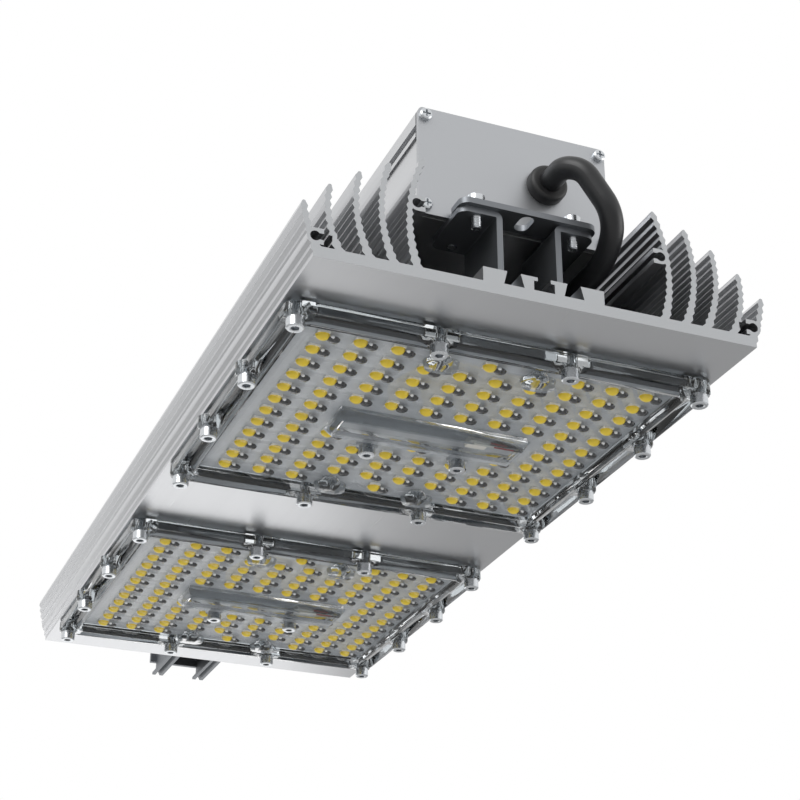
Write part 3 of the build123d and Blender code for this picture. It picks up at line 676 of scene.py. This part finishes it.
class STREETLIGHT_OT_lamps(bpy.types.Operator):
    """Finish the lamps, their boards and the clear covers"""

    bl_idname = "street_light.lamps"
    bl_label = "Finish lamps"

    def execute(self, context):
        lamps = settings("lamps")
        dress(of_modules("led_board"), lamp_board_coating())
        lamp = [plain_moulding("lamp_body", lamps.body, 0.45),
                plain_moulding("phosphor_silicone", lamps.phosphor, 0.35)]
        # dark_flank gives the painted dark reflection in each lens
        clear = [clear_polycarbonate(), clear_skin(), dark_flank(),
                 # Painted highlight: white bodies for the glint of each lens
                 plain_moulding("painted_lens_highlight", linear("#F4F6F8"), 0.2)]
        for module in MODULES:
            lamp_pieces(module, lamp)
            clear_cover(module, clear)
        dress(of_modules("cover_gasket") + ["near_end_gasket", "far_end_gasket"],
              plain_moulding("moulded_silicone", linear("#8A8B8A"), 0.6))
        dress(of_modules("wire_connector"), plain_moulding("nylon", linear("#E4E2DA"), 0.4))
        dress(of_modules("red_lead"), plain_moulding("red_insulation", linear("#B01C14"), 0.35))
        dress(of_modules("black_lead"), plain_moulding("black_insulation", linear("#141414"), 0.35))
        return {"FINISHED"}


class STREETLIGHT_OT_cable(bpy.types.Operator):
    """Finish the link cable and its rubber"""

    bl_idname = "street_light.cable"
    bl_label = "Finish cable"

    def execute(self, context):
        dress(["link_cable"], plain_moulding("extruded_cable_sheath", linear("#17181A"), 0.42))
        dress(["cable_grommet", "plate_grommet_near", "plate_plug_far"],
              plain_moulding("moulded_rubber", linear("#131314"), 0.5))
        return {"FINISHED"}


class STREETLIGHT_OT_driver(bpy.types.Operator):
    """Finish the driver inside the box"""

    bl_idname = "street_light.driver"
    bl_label = "Finish driver"

    def execute(self, context):
        dress(["driver_board"], plain_moulding("green_laminate", linear("#1E5B33"), 0.4))
        dress(["terminal_block"], plain_moulding("terminal_plastic", linear("#2C6B43"), 0.45))
        dress(["transformer_core"], plain_moulding("sintered_ferrite", linear("#2A2B2D"), 0.7))
        dress(["transformer_winding", "line_choke"], plain_moulding("enamelled_wire", linear("#9A5A2E"), 0.3))
        dress(["capacitors"], plain_moulding("sleeved_can", linear("#1B2340"), 0.35))
        return {"FINISHED"}


def area_lamp(name, place, aim, size, power):
    """Soft rectangular lamp that points at a place."""
    data = bpy.data.lights.new(name, "AREA")
    data.shape = "RECTANGLE"
    data.size, data.size_y = size
    data.energy = power
    lamp = bpy.data.objects.new(name, data)
    lamp.location = place
    lamp.rotation_mode = "QUATERNION"
    lamp.rotation_quaternion = (Vector(aim) - Vector(place)).to_track_quat("-Z", "Y")
    bpy.context.scene.collection.objects.link(lamp)


class STREETLIGHT_OT_stage(bpy.types.Operator):
    """Set up the camera, the floor and the soft lamps"""

    bl_idname = "street_light.stage"
    bl_label = "Set the stage"

    def execute(self, context):
        stage = settings("stage")
        scene = context.scene
        data = bpy.data.cameras.new("studio_camera")
        data.sensor_width = 36.0
        data.lens = stage.focal_length
        data.clip_start, data.clip_end = 0.01, 50
        camera = bpy.data.objects.new("studio_camera", data)
        camera.location = stage.camera_place
        camera.rotation_mode = "QUATERNION"
        camera.rotation_quaternion = Vector(stage.camera_aim).to_track_quat("-Z", "Y")
        scene.collection.objects.link(camera)
        scene.camera = camera

        bm = bmesh.new()
        bmesh.ops.create_grid(bm, x_segments=1, y_segments=1, size=6.0,
                              matrix=Matrix.Translation((0, 0, -stage.floor_drop)))
        mesh = bpy.data.meshes.new("studio_floor")
        bm.to_mesh(mesh)
        bm.free()
        floor = bpy.data.objects.new("studio_floor", mesh)
        scene.collection.objects.link(floor)
        material, tree, shader, _ = start_material("studio_paper")
        set_shader(shader, {"Roughness": 0.9, "Base Color": linear("#E9E9E9")})
        # Clear from below, where it would hide the lamps
        below = add_node(tree, "ShaderNodeNewGeometry").outputs["Backfacing"]
        from_above = add_node(tree, "ShaderNodeMath", {0: 1.0, 1: below}, operation="SUBTRACT")
        tree.links.new(from_above.outputs[0], shader.inputs["Alpha"])
        mesh.materials.append(material)

        world = bpy.data.worlds.new("studio_world")
        scene.world = world
        world.use_nodes = True
        tree = world.node_tree
        ray = add_node(tree, "ShaderNodeLightPath")
        seen = add_node(tree, "ShaderNodeMath", {0: ray.outputs["Is Camera Ray"],
                                                 1: ray.outputs["Is Glossy Ray"]}, operation="ADD")
        seen = add_node(tree, "ShaderNodeMath", {0: seen.outputs[0],
                                                 1: ray.outputs["Is Transmission Ray"]},
                        operation="ADD", use_clamp=True)
        level = add_node(tree, "ShaderNodeMapRange",
                         {"Value": seen.outputs[0], "To Min": stage.world_level, "To Max": 1.0})
        background = tree.nodes["Background"]
        background.inputs["Color"].default_value = (1, 1, 1, 1)
        tree.links.new(level.outputs["Result"], background.inputs["Strength"])

        area_lamp("key_lamp", (-1.4, -1.2, 1.2), (0, 0, 0), (1.2, 1.2), 24)
        area_lamp("fill_lamp", (1.6, -0.8, -0.3), (0, 0, 0), (1.0, 1.4), 10)
        area_lamp("left_card", (-0.05, 1.05, -0.5), (0, 0, -0.05), (0.9, 1.0), 2.8)
        scene.view_settings.view_transform = "Standard"
        return {"FINISHED"}


PIECES = ("metal", "screws", "lamps", "cable", "driver", "stage")


class STREETLIGHT_PT_panel(bpy.types.Panel):
    """Lists the steps that finish the street light"""

    bl_idname = "STREETLIGHT_PT_panel"
    bl_label = "Street Light"
    bl_space_type = "VIEW_3D"
    bl_region_type = "UI"
    bl_category = "Street Light"

    def draw(self, context):
        for piece in PIECES:
            self.layout.operator("street_light." + piece)


GROUPS = {"metal": StreetLightMetal, "lamps": StreetLightLamps, "screws": StreetLightScrews,
          "stage": StreetLightStage}
CLASSES = (*GROUPS.values(), STREETLIGHT_OT_metal, STREETLIGHT_OT_screws, STREETLIGHT_OT_lamps,
           STREETLIGHT_OT_cable, STREETLIGHT_OT_driver, STREETLIGHT_OT_stage, STREETLIGHT_PT_panel)


def register():
    for cls in CLASSES:
        bpy.utils.register_class(cls)
    for name, group in GROUPS.items():
        setattr(bpy.types.Scene, "street_light_" + name, bpy.props.PointerProperty(type=group))


def unregister():
    for name in GROUPS:
        delattr(bpy.types.Scene, "street_light_" + name)
    for cls in reversed(CLASSES):
        bpy.utils.unregister_class(cls)


def main():
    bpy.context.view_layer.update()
    register()
    for piece in PIECES:
        getattr(bpy.ops.street_light, piece)()


if __name__ == "__main__":
    main()
